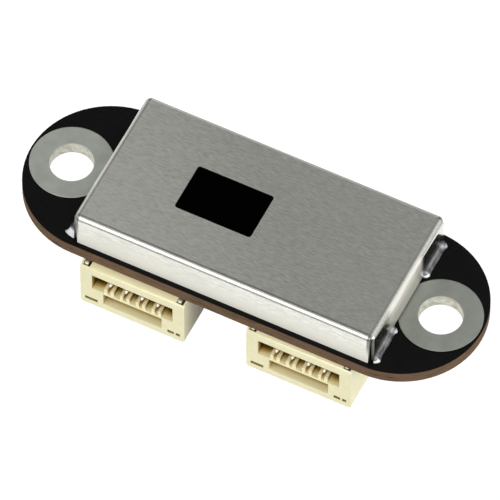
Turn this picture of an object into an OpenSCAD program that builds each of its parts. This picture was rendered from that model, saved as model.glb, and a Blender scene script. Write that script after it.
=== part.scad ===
// Laser distance sensor: a small time-of-flight ranging module.
// A black circuit board with round ends carries a folded shielding can with a black
// infrared window on its face. Two 4-way side-entry headers hang under its front edge.
// Millimetres. X runs along the board and Z out of the window. The headers open to -Y.
// The origin is midway between the two mounting holes, on the underside of the board.

/* [Board] */
// Finished bore of each mounting hole
hole_d = 3.2; // [2.6:0.1:3.6]
// Diameter of the tinned ring round each hole
ring_d = 6.1; // [5.4:0.1:6.4]
// Board left outside the ring at each end
ring_margin = 0.15; // [0.05:0.05:1.5]
// Width of the board, also the diameter of its round ends
board_w = 12.6; // [12:0.1:15]
// Thickness of the board
board_t = 1.0; // [0.6:0.1:1.6]
// Thickness of the plated copper on the faces and in the bores
copper_t = 0.05; // [0.03:0.01:0.08]

/* [Shielding can] */
// Length of the can
can_l = 23.6; // [22.8:0.1:24.2]
// Board left uncovered in front of and behind the can
can_margin = 0.4; // [0.2:0.05:0.7]
// Height of the can over the board
can_h = 3.05; // [2.8:0.05:4]
// How far the can sits off the middle, towards +X
can_shift = 0.3; // [0:0.05:0.5]
// How far the rings reach under the can's ends, half at each end of a can in the middle
rings_under_can = 0.5; // [0:0.1:0.8]
// Thickness of the sheet
sheet_t = 0.2; // [0.15:0.01:0.25]
// Outer radius of the bends round the lid
bend_r = 0.5; // [0.4:0.05:0.6]
// Width of the raised middle of each short wall
arch_w = 4.6; // [4.4:0.1:6]
// Height of the raised middle over the board
arch_h = 0.25; // [0.1:0.05:0.8]
// Width of the corner slits at the top
slit_top = 0.27; // [0.2:0.01:0.35]
// Width of the corner slits at the board
slit_foot = 0.35; // [0.2:0.01:0.4]
// How far the solder reaches out from the left wall
solder_left = 0.75; // [0.5:0.05:1]
// How far the solder reaches out from the right wall
solder_right = 0.35; // [0.25:0.05:0.6]
// How high the solder climbs the left wall
solder_left_h = 2.35; // [1:0.05:2.4]
// How high the solder climbs the right wall
solder_right_h = 0.5; // [0.4:0.05:2]

/* [Window] */
// Length of the window opening
window_l = 6.0; // [5.6:0.1:6.6]
// Width of the window opening
window_w = 3.9; // [3.6:0.1:4.4]
// Corner radius of the window opening
window_r = 0.2; // [0.1:0.05:0.5]
// Window's place along the lid, from its middle
window_shift = -2.75; // [-3.2:0.05:-2.2]
// Ledge of the filter under the lid, all round
filter_ledge = 0.6; // [0.4:0.1:0.8]
// Thickness of that ledge
filter_t = 0.4; // [0.3:0.05:0.6]
// Thickness of the adhesive frame under the lid
tape_t = 0.1; // [0.05:0.01:0.15]

/* [Headers] */
// Contact pitch
pitch = 1.25; // [1.2:0.01:1.3]
// Housing beyond the outer contacts, at each end
end_l = 2.25; // [2.1:0.05:2.5]
// Height of the housing under the board
header_h = 4.5; // [4.2:0.05:4.8]
// Depth of the housing
header_d = 4.1; // [3.9:0.05:4.6]
// Left header's middle, in from the left mounting hole
left_header_in = 8.3; // [8:0.1:8.8]
// Right header's middle, in from the right mounting hole
right_header_in = 7.9; // [7.6:0.1:8.8]
// Left header's mating face in front of the board's edge
left_overhang = 0.6; // [0:0.05:1]
// Right header's mating face in front of the board's edge
right_overhang = 0.3; // [0:0.05:1]
// Side of the square contact wire
wire_t = 0.32; // [0.26:0.01:0.36]
// Wall between the board and the plug opening
roof_t = 0.8; // [0.6:0.05:0.9]
// Height of the plug opening
mouth_h = 1.65; // [1.5:0.05:1.8]
// Thin ledge between the plug opening and the lock slot
ledge_t = 0.2; // [0.15:0.01:0.3]
// Height of the lock slot
lock_h = 1.2; // [1.05:0.05:1.3]
// Thickness of the solder tabs
tab_t = 0.3; // [0.2:0.01:0.34]

/* [Hidden] */
$fn = 64;
// Overshoot of every cutter past the face that it cuts
over = 1;

// Board: the mounting holes stand clear of the can
hole_pitch = can_l - rings_under_can + ring_d;
board_l = hole_pitch + ring_d + 2 * ring_margin;

// Shielding can, with its corners measured from its own middle
can_w = board_w - 2 * can_margin;
can_inner_l = can_l - 2 * sheet_t;
can_inner_w = can_w - 2 * sheet_t;
can_inner_h = can_h - sheet_t;
arch_corner_r = 0.1;
// The short walls stop this far behind the front and back walls
wall_gap = 0.15;
wall_end_y = can_w / 2 - sheet_t - wall_gap;
// The corner slits cut into the bends and end this far under the lid's face
slit_drop = 0.22;
slit_z = can_h - slit_drop;
// The solder starts beside the raised middle and runs on past the short wall's end
solder_gap = 0.05;
solder_end_y = can_w / 2 - sheet_t;
// The solder is this thick at its foot's outer edge and at its top
solder_edge = 0.03;
// Depth of the solder's hollow and the rounding of its ends, as shares of how far it
// reaches out
solder_hollow = 0.24;
solder_round = 0.3;

// Window and what lies under it, from the underside of the lid down
window_x = can_shift + window_shift;
filter_fit = 0.03;
filter_sink = 0.02;
tape_fit = 0.1;
lid_under_z = board_t + can_inner_h;
ledge_top_z = lid_under_z - tape_t;
ledge_under_z = ledge_top_z - filter_t;

// Ranging chip
chip_l = 4.4;
chip_w = 2.4;
chip_base_t = 0.3;
chip_cap_t = 0.7;
chip_wall = 0.2;
emitter_x = -1.45;
emitter_d = 0.6;
receiver_x = 0.75;
receiver_d = 0.9;
divider_x = -0.6;
chip_top_z = board_t + chip_base_t + chip_cap_t;
emitter_size = [0.4, 0.4, 0.15];
receiver_size = [1.6, 1.3, 0.25];
baffle_margin = 0.25;
well_spread = 0.5;

// Other parts on the board, placed from the inner faces of the can
part_gap = 0.4;
front_row_y = -can_inner_w / 2 + part_gap;
back_row_y = can_inner_w / 2 - part_gap;
dimple_d = 0.5;
dimple_in = 0.6;
dimple_deep = 0.06;
mcu_l = 5;
mcu_t = 0.8;
mcu_land = [0.25, 0.4, 0.05];
mcu_pitch = 0.65;
mcu_ways = 7;
mcu_pad = 3.2;
mcu_from_window = 6.05;
mcu_x = window_x + mcu_from_window;
mcu_y = 0.3;
// Thickness, foot and bend of the bent leads
lead_t = 0.15;
lead_foot = 0.4;
lead_bend = 0.1;
// Each leaded package has a span over its leads, and its leads have a pitch, a width and a
// height at which they leave it
transceiver_size = [3, 3, 0.85];
transceiver_span = 4.9;
transceiver_ways = 4;
transceiver_pitch = 0.65;
transceiver_lead_w = 0.3;
transceiver_exit_z = 0.5;
transceiver_x = can_shift - can_inner_l / 2 + part_gap + transceiver_span / 2;
regulator_size = [2.9, 1.6, 1.1];
regulator_span = 2.9;
regulator_pitch = 0.95;
regulator_lead_w = 0.4;
regulator_exit_z = 0.6;
supply_x = can_shift + can_inner_l / 2 - part_gap - regulator_size[0] / 2;
regulator_y = back_row_y - regulator_span / 2;
crystal_size = [3.2, 2.5, 0.75];
crystal_base_t = 0.45;
crystal_lid_in = 0.15;
crystal_lid_r = 0.3;
// Two-ended parts: each end cap's share of the length, and how proud it stands
end_cap_share = 0.2;
end_cap_proud = 0.03;
inductor_size = [2.5, 2, 1.2];
big_cap_size = [2, 1.25, 1.25];
small_cap_size = [1.6, 0.8, 0.8];
resistor_size = [1.6, 0.8, 0.45];

// Header housing, from its mating face back and from the board down
ways = 4;
header_w = (ways - 1) * pitch + 2 * end_l;
header_corner_r = 0.25;
mouth_side_t = 0.925;
mouth_back_t = 0.9;
mouth_w = header_w - 2 * mouth_side_t;
mouth_d = header_d - mouth_back_t;
lock_side_t = 1.8;
lock_back_t = 1.1;
lock_w = header_w - 2 * lock_side_t;
lock_d = header_d - lock_back_t;
mouth_floor_z = -roof_t - mouth_h;
lock_roof_z = mouth_floor_z - ledge_t;
lock_floor_z = lock_roof_z - lock_h;
rib_t = 0.25;
rib_h = 0.5;
rib_gap = 0.26;
rib_front = 0.05;
// Mould slits low on the mating face: one at the left, and one with a bridge at the right
mark_w = 1;
mark_end_w = 0.33;
mark_bridge = 0.16;
mark_h = 0.28;
mark_d = 0.7;
mark_in = 0.35;
mark_up = 0;
mark_z = lock_floor_z + mark_up;

// Contacts and solder tabs
pin_z = -roof_t - mouth_h / 2;
pin_recess = 0.2;
pin_taper = 0.3;
pin_point = 0.06;
tail_gap = 0.12;
tail_y = header_d + tail_gap + wire_t / 2;
foot_l = 0.95;
foot_gap = 0.05;
foot_z = -foot_gap - wire_t / 2;
wire_bend = 0.28;
tab_slot_w = 0.56;
tab_slot_lip = 0.15;
tab_slot_front = 0.12;
tab_slot_back = 1.1;
tab_slot_d = 1.4;
tab_slot_l = header_d - tab_slot_front - tab_slot_back;
tab_fit = 0.12;
tab_l = tab_slot_l - 2 * tab_fit;
tab_front = tab_slot_front + tab_fit;
tab_side_fit = 0.03;
tab_round = 0.3;
// Solder bed of a contact's foot: its margins, its height, and its hollow flanks' radius as
// a share of that height
bed_end = 0.2;
bed_edge = 0.15;
bed_climb = 0.16;
bed_h = foot_gap + bed_climb;
bed_hollow = 0.7;

// Block that stands on its middle
module block(size) {
    translate([-size[0] / 2, -size[1] / 2, 0])
        cube(size);
}

// Rectangle with round corners, about the middle
module rounded_rect(l, w, r) {
    square([l - 2 * r, w], center = true);
    square([l, w - 2 * r], center = true);
    for (x = [-1, 1], y = [-1, 1])
        translate([x * (l / 2 - r), y * (w / 2 - r)])
            circle(r);
}

// Upright section that is square at the foot and round at its two upper corners
module rounded_top(w, h, r) {
    translate([-w / 2, 0])
        square([w, h - r]);
    translate([-w / 2 + r, 0])
        square([w - 2 * r, h]);
    for (side = [-1, 1])
        translate([side * (w / 2 - r), h - r])
            circle(r);
}

// Extrudes an X-Z section along Y, or a Y-Z section along X, about the middle
module along_y(l) {
    rotate([90, 0, 0])
        linear_extrude(l, center = true)
            children();
}

module along_x(l) {
    rotate([90, 0, 90])
        linear_extrude(l, center = true)
            children();
}

// Block whose four upper edges are round, as a folded lid leaves them
module lid_block(l, w, h, r) {
    intersection() {
        along_y(w)
            rounded_top(l, h, r);
        along_x(l)
            rounded_top(w, h, r);
    }
}

// Strip of thickness t that turns from heading a to heading b about a round corner.
// Headings are in degrees, a quarter turn apart, and the corner is at the origin.
module strip_corner(a, b, r, t) {
    turn = sin(b - a);
    rotate(a)
        translate([-r, turn * r])
            intersection() {
                difference() {
                    circle(r + t / 2);
                    circle(r - t / 2);
                }
                translate([0, turn > 0 ? -2 * r - t : 0])
                    square([2 * r + t, 2 * r + t]);
            }
}

// Straight stretch of the same strip, from the origin
module strip_run(a, l, t) {
    rotate(a)
        translate([0, -t / 2])
            square([l, t]);
}

// Circuit board

module board_outline() {
    square([board_l - board_w, board_w], center = true);
    for (side = [-1, 1])
        translate([side * (board_l - board_w) / 2, 0])
            circle(d = board_w);
}

module pcb() {
    color("#1b1b1a")
        difference() {
            linear_extrude(board_t)
                board_outline();
            for (side = [-1, 1])
                translate([side * hole_pitch / 2, 0, -over])
                    cylinder(d = hole_d + 2 * copper_t, h = board_t + 2 * over);
        }
}

// Plated hole: a barrel through the board and a flat ring on each face
module mount_ring(side) {
    color("#8f958f")
        translate([side * hole_pitch / 2, 0, 0])
            difference() {
                union() {
                    translate([0, 0, -copper_t])
                        cylinder(d = ring_d, h = copper_t);
                    translate([0, 0, board_t])
                        cylinder(d = ring_d, h = copper_t);
                    translate([0, 0, -copper_t])
                        cylinder(d = hole_d + 2 * copper_t, h = board_t + 2 * copper_t);
                }
                translate([0, 0, -over])
                    cylinder(d = hole_d, h = board_t + 2 * over);
            }
}

module mount_ring_left() {
    mount_ring(-1);
}

module mount_ring_right() {
    mount_ring(1);
}

// Shielding can: one sheet, folded down on four sides and open at the corners

module corner_slit() {
    translate([0, can_w / 2 + over, 0])
        rotate([90, 0, 0])
            linear_extrude(sheet_t + wall_gap + over)
                polygon([
                    [can_l / 2 - slit_foot, -over],
                    [can_l / 2 + over, -over],
                    [can_l / 2 + over, slit_z],
                    [can_l / 2 - slit_top, slit_z],
                    [can_l / 2 - slit_foot, 0]
                ]);
}

module shield_can() {
    color("#a4a59f")
        translate([can_shift, 0, board_t])
            difference() {
                lid_block(can_l, can_w, can_h, bend_r);
                translate([0, 0, -over])
                    lid_block(can_inner_l, can_inner_w, can_inner_h + over, bend_r - sheet_t);
                translate([window_shift, 0, 0])
                    linear_extrude(can_h + over)
                        rounded_rect(window_l, window_w, window_r);
                translate([0, 0, -over])
                    along_x(can_l + 2 * over)
                        rounded_top(arch_w, arch_h + over, arch_corner_r);
                for (x = [0, 1], y = [0, 1])
                    mirror([x, 0, 0])
                        mirror([0, y, 0])
                            corner_slit();
            }
}

// Solder that climbs the end of a short wall in a hollow curve and thins out at its ends.
// It stands on the board at the wall's outer face, reaches out by w and climbs h.
module can_solder(side_x, side_y, w, h) {
    run = solder_end_y - arch_w / 2 - solder_gap;
    reach = w - solder_edge;
    climb = h - solder_edge;
    sag = solder_hollow * w;
    hollow_r = (reach * reach + climb * climb) / (8 * sag) + sag / 2;
    color("#77787a")
        translate([can_shift + side_x * can_l / 2, side_y * (solder_end_y - run / 2), board_t])
            mirror([side_x < 0 ? 1 : 0, 0, 0])
                intersection() {
                    along_y(run + 2 * over)
                        difference() {
                            square([w + over, h]);
                            translate([w + solder_edge, h + solder_edge] / 2)
                                rotate(atan(reach / climb))
                                    translate([hollow_r - sag, 0])
                                        circle(hollow_r, $fn = 360);
                        }
                    translate([0, 0, -over])
                        linear_extrude(h + 2 * over)
                            rounded_rect(2 * w, run, w * solder_round);
                }
}

module can_solder_front_left() {
    can_solder(-1, -1, solder_left, solder_left_h);
}

module can_solder_front_right() {
    can_solder(1, -1, solder_right, solder_right_h);
}

module can_solder_back_left() {
    can_solder(-1, 1, solder_left, solder_left_h);
}

module can_solder_back_right() {
    can_solder(1, 1, solder_right, solder_right_h);
}

// Window: the filter hangs under the lid by its ledge and fills the opening

module window_filter() {
    color("#0b0b0c")
        translate([window_x, 0, 0]) {
            translate([0, 0, ledge_under_z])
                linear_extrude(filter_t)
                    rounded_rect(window_l + 2 * filter_ledge, window_w + 2 * filter_ledge, window_r);
            translate([0, 0, ledge_under_z])
                linear_extrude(filter_t + tape_t + sheet_t - filter_sink)
                    rounded_rect(window_l - 2 * filter_fit, window_w - 2 * filter_fit, window_r);
        }
}

module filter_tape() {
    color("#3a3a38")
        translate([window_x, 0, ledge_top_z])
            linear_extrude(tape_t)
                difference() {
                    rounded_rect(window_l + 2 * filter_ledge, window_w + 2 * filter_ledge, window_r);
                    rounded_rect(window_l + 2 * tape_fit, window_w + 2 * tape_fit, window_r);
                }
}

// Ranging chip: a laser emitter and a receiver on one base, under a cap with two apertures

module at_chip() {
    translate([window_x, 0, board_t])
        children();
}

module ranging_chip_base() {
    color("#2c5a3a")
        at_chip()
            block([chip_l, chip_w, chip_base_t]);
}

// Room in the cap between two places along the chip
module chip_room(x0, x1) {
    translate([x0, -chip_w / 2 + chip_wall, -over])
        cube([x1 - x0, chip_w - 2 * chip_wall, chip_cap_t - chip_wall + over]);
}

module ranging_chip_cap() {
    color("#262626")
        at_chip()
            translate([0, 0, chip_base_t])
                difference() {
                    block([chip_l, chip_w, chip_cap_t]);
                    chip_room(-chip_l / 2 + chip_wall, divider_x - chip_wall / 2);
                    chip_room(divider_x + chip_wall / 2, chip_l / 2 - chip_wall);
                    translate([emitter_x, 0, 0])
                        cylinder(d = emitter_d, h = chip_cap_t + over);
                    translate([receiver_x, 0, 0])
                        cylinder(d = receiver_d, h = chip_cap_t + over);
                }
}

module emitter_die() {
    color("#b89a4a")
        at_chip()
            translate([emitter_x, 0, chip_base_t])
                block(emitter_size);
}

module receiver_die() {
    color("#5a5f7a")
        at_chip()
            translate([receiver_x, 0, chip_base_t])
                block(receiver_size);
}

// Two wells, one over each aperture, open wider towards the filter
module light_well(x, d, h) {
    translate([x, 0, 0]) {
        translate([0, 0, -over])
            cylinder(d = d, h = over);
        cylinder(d1 = d, d2 = d + well_spread, h = h);
        translate([0, 0, h])
            cylinder(d = d + well_spread, h = over);
    }
}

module light_baffle() {
    h = ledge_under_z - chip_top_z;
    color("#303030")
        translate([window_x, 0, chip_top_z])
            difference() {
                block([chip_l + 2 * baffle_margin, chip_w + 2 * baffle_margin, h]);
                light_well(emitter_x, emitter_d, h);
                light_well(receiver_x, receiver_d, h);
            }
}

// Other parts on the board

module on_board(x, y) {
    translate([x, y, board_t])
        children();
}

// Moulded package with a dimple that marks its first lead
module package(size, stand) {
    translate([0, 0, stand])
        difference() {
            block(size);
            translate([-size[0] / 2 + dimple_in, size[1] / 2 - dimple_in, size[2] - dimple_deep])
                cylinder(d = dimple_d, h = over);
        }
}

// Leads on one side of a package, from its side face down to the board and outwards.
// Each is a bent strip in the Y-Z plane, heading to +Y.
module lead_row(count, spacing, lead_w, exit_z, body_w, span) {
    knee_y = span / 2 - lead_foot - lead_t / 2;
    rest_z = lead_t / 2;
    for (i = [0 : count - 1])
        translate([(i - (count - 1) / 2) * spacing, 0, 0])
            along_x(lead_w) {
                translate([body_w / 2, exit_z])
                    strip_run(0, knee_y - body_w / 2 - lead_bend, lead_t);
                translate([knee_y, exit_z])
                    strip_corner(0, -90, lead_bend, lead_t);
                translate([knee_y, exit_z - lead_bend])
                    strip_run(-90, exit_z - rest_z - 2 * lead_bend, lead_t);
                translate([knee_y, rest_z])
                    strip_corner(-90, 0, lead_bend, lead_t);
                translate([knee_y + lead_bend, rest_z])
                    strip_run(0, span / 2 - knee_y - lead_bend, lead_t);
            }
}

module microcontroller() {
    color("#2b2b2d")
        on_board(mcu_x, mcu_y)
            package([mcu_l, mcu_l, mcu_t], mcu_land[2]);
}

module microcontroller_terminals() {
    color("#b7b7b2")
        on_board(mcu_x, mcu_y) {
            for (turn = [0 : 90 : 270], i = [0 : mcu_ways - 1])
                rotate(turn)
                    translate([(i - (mcu_ways - 1) / 2) * mcu_pitch, (mcu_l - mcu_land[1]) / 2, 0])
                        block(mcu_land);
            block([mcu_pad, mcu_pad, mcu_land[2]]);
        }
}

module transceiver() {
    color("#2b2b2d")
        on_board(transceiver_x, 0)
            rotate(90)
                package(transceiver_size, lead_t / 2);
}

module transceiver_leads() {
    color("#b7b7b2")
        on_board(transceiver_x, 0)
            for (turn = [90, -90])
                rotate(turn)
                    lead_row(
                        transceiver_ways, transceiver_pitch, transceiver_lead_w, transceiver_exit_z,
                        transceiver_size[1], transceiver_span
                    );
}

module voltage_regulator() {
    color("#2b2b2d")
        on_board(supply_x, regulator_y)
            package(regulator_size, lead_t / 2);
}

// Two leads at the back, over the outer two of the three at the front
module regulator_leads() {
    color("#b7b7b2")
        on_board(supply_x, regulator_y) {
            lead_row(
                2, 2 * regulator_pitch, regulator_lead_w, regulator_exit_z,
                regulator_size[1], regulator_span
            );
            rotate(180)
                lead_row(
                    3, regulator_pitch, regulator_lead_w, regulator_exit_z,
                    regulator_size[1], regulator_span
                );
        }
}

// Ceramic base with a metal lid, seam-sealed
module crystal() {
    color("#c9c6ba")
        on_board(mcu_x, front_row_y + crystal_size[1] / 2) {
            block([crystal_size[0], crystal_size[1], crystal_base_t]);
            linear_extrude(crystal_size[2])
                rounded_rect(
                    crystal_size[0] - 2 * crystal_lid_in,
                    crystal_size[1] - 2 * crystal_lid_in,
                    crystal_lid_r
                );
        }
}

// Two-ended part: a body between two end caps that stand a little proud of it
module two_ended(size) {
    cap_l = size[0] * end_cap_share;
    translate([0, 0, end_cap_proud])
        block([size[0] - cap_l, size[1] - 2 * end_cap_proud, size[2] - 2 * end_cap_proud]);
    for (side = [-1, 1])
        translate([side * (size[0] - cap_l) / 2, 0, 0])
            block([cap_l, size[1], size[2]]);
}

module inductor() {
    color("#4c4c50")
        on_board(supply_x, regulator_y - regulator_span / 2 - part_gap - inductor_size[1] / 2)
            two_ended(inductor_size);
}

module capacitor_supply() {
    color("#b08a5e")
        on_board(supply_x, front_row_y + big_cap_size[1] / 2)
            two_ended(big_cap_size);
}

module capacitor_output() {
    color("#b08a5e")
        on_board(mcu_x, back_row_y - big_cap_size[1] / 2)
            two_ended(big_cap_size);
}

module capacitor_chip() {
    color("#b08a5e")
        on_board(window_x, back_row_y - small_cap_size[1] / 2)
            two_ended(small_cap_size);
}

module resistor_data() {
    color("#35353a")
        on_board(window_x - resistor_size[0], front_row_y + resistor_size[1] / 2)
            two_ended(resistor_size);
}

module resistor_clock() {
    color("#35353a")
        on_board(window_x + resistor_size[0], front_row_y + resistor_size[1] / 2)
            two_ended(resistor_size);
}

module resistor_termination() {
    color("#35353a")
        on_board(transceiver_x, back_row_y - resistor_size[1] / 2)
            two_ended(resistor_size);
}

// Headers. Each is drawn about its own middle: its mating face is at y = 0, and its
// seating face, which lies on the underside of the board, is at z = 0.

module at_left_header() {
    translate([-hole_pitch / 2 + left_header_in, -board_w / 2 - left_overhang, 0])
        children();
}

module at_right_header() {
    translate([hole_pitch / 2 - right_header_in, -board_w / 2 - right_overhang, 0])
        children();
}

// Section of the housing: its two lower edges are round
module housing_section() {
    rotate(180)
        rounded_top(header_w, header_h, header_corner_r);
}

// Straight opening from the mating face, between two heights
module mouth(w, z_low, z_high, d) {
    translate([-w / 2, -over, z_low])
        cube([w, d + over, z_high - z_low]);
}

// Pair of ribs on the floor of the plug opening, one on each side of a contact
module rib_pair() {
    for (side = [-1, 1])
        translate([side * (rib_gap + rib_t) / 2 - rib_t / 2, rib_front, mouth_floor_z])
            cube([rib_t, mouth_d - rib_front, rib_h]);
}

// Square hole in the back wall that a contact is pressed through
module contact_hole() {
    translate([-wire_t / 2, mouth_d - over, pin_z - wire_t / 2])
        cube([wire_t, header_d - mouth_d + 2 * over, wire_t]);
}

// Slot for a solder tab, open towards the board and behind a thin outer lip
module tab_slot(side) {
    translate([side * (header_w / 2 - tab_slot_lip - tab_slot_w / 2), 0, 0])
        translate([-tab_slot_w / 2, tab_slot_front, -tab_slot_d])
            cube([tab_slot_w, tab_slot_l, tab_slot_d + over]);
}

// Mould slit from one place along the mating face, w long
module face_mark(x, w) {
    translate([x, -over, mark_z - mark_h / 2])
        cube([w, mark_d + over, mark_h]);
}

module contact_x(i) {
    translate([(i - (ways + 1) / 2) * pitch, 0, 0])
        children();
}

module header_housing() {
    color("#e6dfbe") {
        difference() {
            translate([0, header_d / 2, 0])
                along_y(header_d)
                    housing_section();
            mouth(mouth_w, mouth_floor_z, -roof_t, mouth_d);
            mouth(lock_w, lock_floor_z, lock_roof_z, lock_d);
            for (i = [1 : ways])
                contact_x(i)
                    contact_hole();
            for (side = [-1, 1])
                tab_slot(side);
            face_mark(-header_w / 2 + mark_in, mark_w);
            face_mark(header_w / 2 - mark_in - mark_w, mark_w - mark_end_w - mark_bridge);
            face_mark(header_w / 2 - mark_in - mark_end_w, mark_end_w);
        }
        for (i = [1 : ways])
            contact_x(i)
                rib_pair();
    }
}

// Contact: one square wire, pointed at the mating end, bent up to the board behind the
// housing and out again into a foot that is soldered to it
module header_pin(i) {
    end_y = tail_y + wire_t / 2 + foot_l;
    half = wire_t / 2;
    tip = pin_point / 2;
    color("#cfcdc4")
        contact_x(i)
            intersection() {
                along_x(wire_t) {
                    polygon([
                        [pin_recess, pin_z - tip],
                        [pin_recess + pin_taper, pin_z - half],
                        [tail_y - wire_bend, pin_z - half],
                        [tail_y - wire_bend, pin_z + half],
                        [pin_recess + pin_taper, pin_z + half],
                        [pin_recess, pin_z + tip]
                    ]);
                    translate([tail_y, pin_z])
                        strip_corner(0, 90, wire_bend, wire_t);
                    translate([tail_y, pin_z + wire_bend])
                        strip_run(90, foot_z - pin_z - 2 * wire_bend, wire_t);
                    translate([tail_y, foot_z])
                        strip_corner(90, 0, wire_bend, wire_t);
                    translate([tail_y + wire_bend, foot_z])
                        strip_run(0, end_y - tail_y - wire_bend, wire_t);
                }
                translate([0, 0, -header_h])
                    linear_extrude(header_h)
                        polygon([
                            [-tip, pin_recess],
                            [tip, pin_recess],
                            [half, pin_recess + pin_taper],
                            [half, end_y],
                            [-half, end_y],
                            [-half, pin_recess + pin_taper]
                        ]);
            }
}

// Solder tab: a flat plate that stands in its slot, soldered to the board by its upper edge,
// with its upper front corner round. Both tabs stand at the left of their slots.
module at_tab(side) {
    translate([side * (header_w / 2 - tab_slot_lip - tab_slot_w / 2), 0, 0])
        translate([(tab_t - tab_slot_w) / 2 + tab_side_fit, 0, 0])
            children();
}

module header_tab(side) {
    color("#c4c2b8")
        at_tab(side)
            along_x(tab_t) {
                translate([tab_front, -tab_slot_d])
                    square([tab_l, tab_slot_d - foot_gap - tab_round]);
                translate([tab_front + tab_round, -tab_slot_d])
                    square([tab_l - tab_round, tab_slot_d - foot_gap]);
                translate([tab_front + tab_round, -foot_gap - tab_round])
                    circle(tab_round);
            }
}

// Solder with hollow flanks round what stands in it, l by w on the board and h high
module solder_bed(w, l, h) {
    intersection() {
        along_y(l)
            solder_section(w, h);
        along_x(w)
            solder_section(l, h);
    }
}

module solder_section(w, h) {
    difference() {
        translate([-w / 2, -h])
            square([w, h]);
        for (side = [-1, 1])
            translate([side * w / 2, -h])
                circle(h * bed_hollow);
    }
}

// Solder of one header: a bed at each contact's foot and a film over each tab
module header_solder() {
    foot_y = tail_y + wire_t / 2 + foot_l / 2;
    color("#8a8b8c") {
        for (i = [1 : ways])
            difference() {
                contact_x(i)
                    translate([0, foot_y, 0])
                        solder_bed(wire_t + 2 * bed_edge, foot_l + 2 * bed_end, bed_h);
                header_pin(i);
            }
        for (side = [-1, 1])
            at_tab(side)
                along_x(tab_t)
                    translate([tab_front + tab_round, -foot_gap])
                        square([tab_l - tab_round, foot_gap]);
    }
}

module left_header_housing() {
    at_left_header()
        header_housing();
}

module left_header_pin_1() {
    at_left_header()
        header_pin(1);
}

module left_header_pin_2() {
    at_left_header()
        header_pin(2);
}

module left_header_pin_3() {
    at_left_header()
        header_pin(3);
}

module left_header_pin_4() {
    at_left_header()
        header_pin(4);
}

module left_header_tab_left() {
    at_left_header()
        header_tab(-1);
}

module left_header_tab_right() {
    at_left_header()
        header_tab(1);
}

module left_header_solder() {
    at_left_header()
        header_solder();
}

module right_header_housing() {
    at_right_header()
        header_housing();
}

module right_header_pin_1() {
    at_right_header()
        header_pin(1);
}

module right_header_pin_2() {
    at_right_header()
        header_pin(2);
}

module right_header_pin_3() {
    at_right_header()
        header_pin(3);
}

module right_header_pin_4() {
    at_right_header()
        header_pin(4);
}

module right_header_tab_left() {
    at_right_header()
        header_tab(-1);
}

module right_header_tab_right() {
    at_right_header()
        header_tab(1);
}

module right_header_solder() {
    at_right_header()
        header_solder();
}

pcb();
mount_ring_left();
mount_ring_right();
shield_can();
window_filter();
filter_tape();
can_solder_front_left();
can_solder_front_right();
can_solder_back_left();
can_solder_back_right();
light_baffle();
ranging_chip_base();
ranging_chip_cap();
emitter_die();
receiver_die();
microcontroller();
microcontroller_terminals();
transceiver();
transceiver_leads();
voltage_regulator();
regulator_leads();
crystal();
inductor();
capacitor_supply();
capacitor_output();
capacitor_chip();
resistor_data();
resistor_clock();
resistor_termination();
left_header_housing();
left_header_pin_1();
left_header_pin_2();
left_header_pin_3();
left_header_pin_4();
left_header_tab_left();
left_header_tab_right();
left_header_solder();
right_header_housing();
right_header_pin_1();
right_header_pin_2();
right_header_pin_3();
right_header_pin_4();
right_header_tab_left();
right_header_tab_right();
right_header_solder();
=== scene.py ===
# Looks of a small time-of-flight laser distance sensor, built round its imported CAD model.
# Metres, in the CAD model's frame: +X along the board, -Y out of the headers' mating faces,
# +Z out of the window, with the origin between the two mounting holes.
import math

import bmesh
import bpy
from mathutils import Matrix, Vector, noise


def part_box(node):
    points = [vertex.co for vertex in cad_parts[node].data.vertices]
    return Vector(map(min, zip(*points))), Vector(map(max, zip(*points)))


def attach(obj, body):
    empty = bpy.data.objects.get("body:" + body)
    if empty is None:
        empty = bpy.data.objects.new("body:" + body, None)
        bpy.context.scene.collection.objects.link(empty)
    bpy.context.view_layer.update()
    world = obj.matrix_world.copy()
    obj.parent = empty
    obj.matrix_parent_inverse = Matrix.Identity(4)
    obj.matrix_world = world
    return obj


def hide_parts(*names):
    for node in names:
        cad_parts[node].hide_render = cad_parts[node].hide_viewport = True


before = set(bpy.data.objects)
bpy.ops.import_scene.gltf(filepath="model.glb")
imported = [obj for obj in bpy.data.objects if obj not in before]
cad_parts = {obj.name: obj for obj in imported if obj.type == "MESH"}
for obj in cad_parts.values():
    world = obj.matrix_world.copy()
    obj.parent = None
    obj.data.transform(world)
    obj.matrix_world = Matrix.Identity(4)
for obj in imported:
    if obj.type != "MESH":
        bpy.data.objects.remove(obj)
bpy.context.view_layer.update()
MM = 0.001

# ---- Camera ----
# Far off, above the module's front and to its right, with a long lens. The photograph's
# parallel lines and the headers' known width give the angles. Its frame is 500 x 500.
CAMERA_FAR = 686.5
turn, lift_angle, roll = (math.radians(angle) for angle in (26.36, 56.08, 0.17))
back = Vector((
    math.sin(turn) * math.cos(lift_angle),
    -math.cos(turn) * math.cos(lift_angle),
    math.sin(lift_angle),
))
level = Vector((math.cos(turn), math.sin(turn), 0))
upright = back.cross(level)
right = level * math.cos(roll) + upright * math.sin(roll)
up = upright * math.cos(roll) - level * math.sin(roll)
lens = bpy.data.cameras.new("camera")
lens.sensor_width = 36
lens.lens = 697.4
lens.shift_x = -0.0106
lens.shift_y = -0.0068
lens.clip_start = 0.05
lens.clip_end = 20
camera = bpy.data.objects.new("camera", lens)
camera.matrix_world = (
    Matrix.Translation(back * CAMERA_FAR * MM) @ Matrix((right, up, back)).transposed().to_4x4()
)
bpy.context.scene.collection.objects.link(camera)
bpy.context.scene.camera = camera
bpy.context.scene.view_settings.view_transform = "Standard"


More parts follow.
